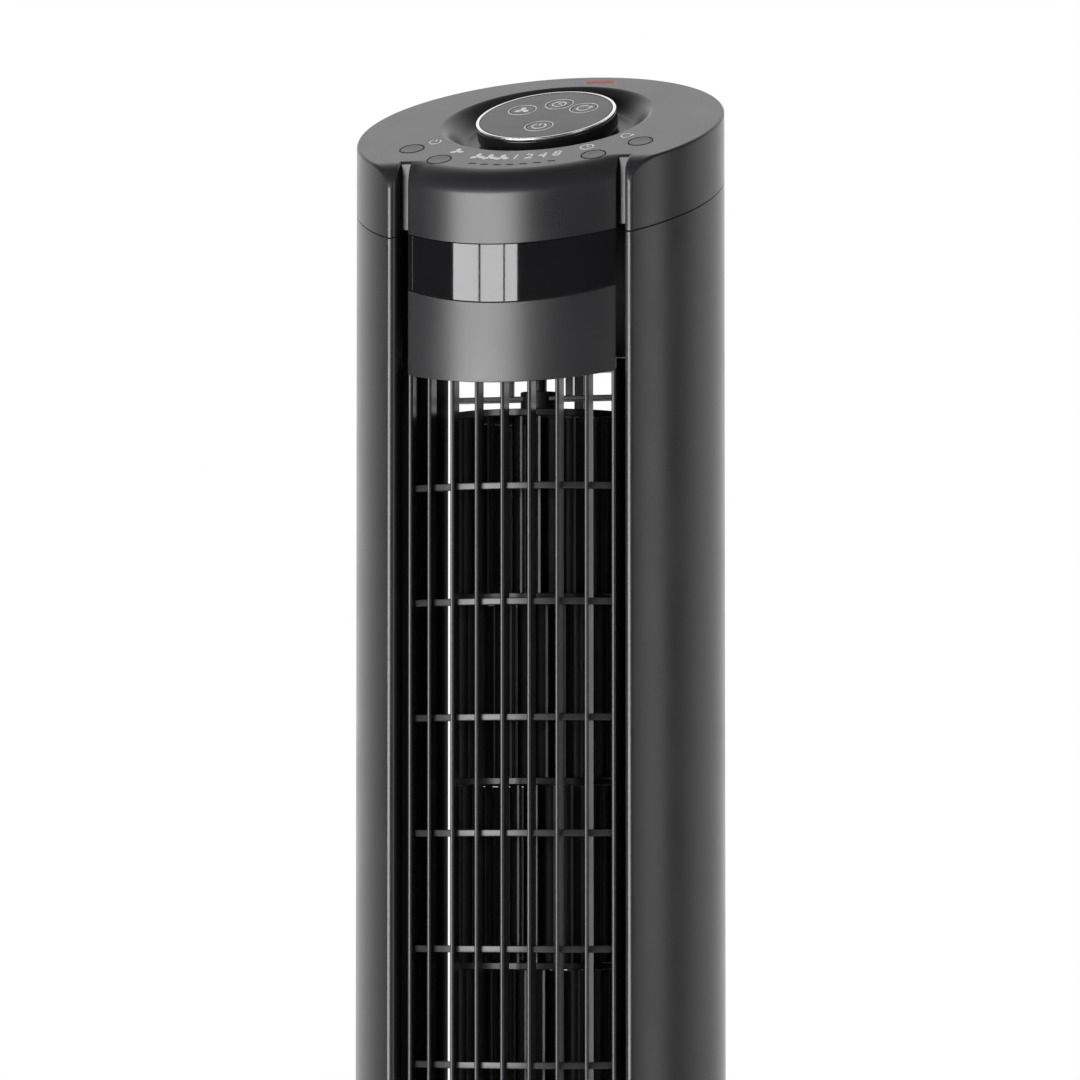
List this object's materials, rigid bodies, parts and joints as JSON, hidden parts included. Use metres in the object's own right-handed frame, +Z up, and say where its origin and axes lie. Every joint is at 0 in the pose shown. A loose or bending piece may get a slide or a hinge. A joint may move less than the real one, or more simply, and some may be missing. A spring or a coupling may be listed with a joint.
{
  "type": "tower fan",
  "caption": "Free-standing tower fan: slatted oval column that swings on a round base, cross-flow impeller behind a barred front, slanted control top with a docked round remote.",
  "frame": {"origin": "centre of the base's footprint, on the floor", "axes": "+Z up along the swing and impeller axis, -Y towards the front of the fan, +X to the right of someone who looks at the front"},
  "size_m": [0.24, 0.24, 0.7604],
  "materials": {
    "shell": "fine satin texture, charcoal",
    "grille": "satin, charcoal",
    "window": "polished, smoked",
    "inside": "black, as moulded",
    "button": "satin",
    "impeller": "black, as moulded",
    "lens": "clear, smooth",
    "rubber": "matt",
    "nylon": "natural, as moulded",
    "steel": "zinc plated",
    "laminations": "stacked sheet, varnished",
    "bronze": "sintered",
    "board": "lacquered board",
    "remote": "semi gloss",
    "silver": "satin metallised",
    "face": "printed film",
    "key": "printed film"
  },
  "bodies": {
    "base": {"base_shell": "shell", "base_plate": "inside", "ballast_plate": "steel", "pivot_hub": "inside", "glide_ring": "nylon", "swing_gear": "nylon", "hub_collar": "steel", "cord_gland": "rubber", "foot_1": "rubber", "foot_2": "rubber", "foot_3": "rubber", "foot_4": "rubber", "base_screw_1": "steel", "base_screw_2": "steel", "base_screw_3": "steel"},
    "tower": {"tower_foot": "shell", "side_shell_left": "shell", "side_shell_right": "shell", "rear_grille": "inside", "front_grille": "grille", "display_window": "window", "lower_front_panel": "grille", "top_cap": "shell", "light_guide": "lens", "control_board": "board", "bearing_bracket": "inside", "upper_bearing": "bronze", "duct_wall_left": "inside", "duct_wall_right": "inside", "duct_ceiling": "inside", "motor_bulkhead": "inside", "motor_top_cover": "steel", "motor_stator": "laminations", "motor_bottom_cover": "steel", "capacitor": "window", "swing_bracket": "inside", "swing_motor": "steel", "rear_screw_1": "steel", "rear_screw_2": "steel"},
    "impeller": {"impeller_segment_1": "impeller", "impeller_segment_2": "impeller", "impeller_segment_3": "impeller", "impeller_segment_4": "impeller", "impeller_segment_5": "impeller", "impeller_top_disc": "impeller", "impeller_hub": "rubber", "motor_shaft": "steel"},
    "swing_pinion": {"swing_pinion": "nylon"},
    "power_button": {"power_button": "button"},
    "mode_button": {"mode_button": "button"},
    "timer_button": {"timer_button": "button"},
    "swing_button": {"swing_button": "button"},
    "remote": {"remote_shell": "remote", "remote_ring": "silver", "remote_face": "face"},
    "remote_power_key": {"remote_power_key": "key"},
    "remote_mode_key": {"remote_mode_key": "key"},
    "remote_timer_key": {"remote_timer_key": "key"},
    "remote_swing_key": {"remote_swing_key": "key"},
    "battery_cover": {"battery_cover": "remote"}
  },
  "joints": [
    {"name": "swing", "type": "hinge", "parent": "base", "child": "tower", "pos_m": [0, 0, 0.045], "axis": [0, 0, 1], "range_deg": [-35, 35]},
    {"name": "impeller_spin", "type": "hinge", "parent": "tower", "child": "impeller", "pos_m": [0, 0, 0.4], "axis": [0, 0, 1], "continuous": true},
    {"name": "pinion_turn", "type": "hinge", "parent": "tower", "child": "swing_pinion", "pos_m": [0, 0.0375, 0.055], "axis": [0, 0, 1], "range_deg": [-145, 145]},
    {"name": "power_button_press", "type": "slide", "parent": "tower", "child": "power_button", "axis": [0, 0.4305, -0.9026], "range_m": [0, 0.001], "stiffness_N_per_m": 300},
    {"name": "mode_button_press", "type": "slide", "parent": "tower", "child": "mode_button", "axis": [0, 0.4305, -0.9026], "range_m": [0, 0.001], "stiffness_N_per_m": 300},
    {"name": "timer_button_press", "type": "slide", "parent": "tower", "child": "timer_button", "axis": [0, 0.4305, -0.9026], "range_m": [0, 0.001], "stiffness_N_per_m": 300},
    {"name": "swing_button_press", "type": "slide", "parent": "tower", "child": "swing_button", "axis": [0, 0.4305, -0.9026], "range_m": [0, 0.001], "stiffness_N_per_m": 300},
    {"name": "remote_lift", "type": "slide", "parent": "tower", "child": "remote", "axis": [0, -0.4305, 0.9026], "range_m": [0, 0.12]},
    {"name": "remote_power_key_press", "type": "slide", "parent": "remote", "child": "remote_power_key", "axis": [0, 0.4305, -0.9026], "range_m": [0, 0.0005], "stiffness_N_per_m": 250},
    {"name": "remote_mode_key_press", "type": "slide", "parent": "remote", "child": "remote_mode_key", "axis": [0, 0.4305, -0.9026], "range_m": [0, 0.0005], "stiffness_N_per_m": 250},
    {"name": "remote_timer_key_press", "type": "slide", "parent": "remote", "child": "remote_timer_key", "axis": [0, 0.4305, -0.9026], "range_m": [0, 0.0005], "stiffness_N_per_m": 250},
    {"name": "remote_swing_key_press", "type": "slide", "parent": "remote", "child": "remote_swing_key", "axis": [0, 0.4305, -0.9026], "range_m": [0, 0.0005], "stiffness_N_per_m": 250},
    {"name": "battery_cover_twist", "type": "hinge", "parent": "remote", "child": "battery_cover", "pos_m": [0, 0.01271, 0.73033], "axis": [0, -0.4305, 0.9026], "range_deg": [0, 30]}
  ],
  "couplings": [
    {"joint": "pinion_turn", "follows": "swing", "ratio": 4}
  ]
}
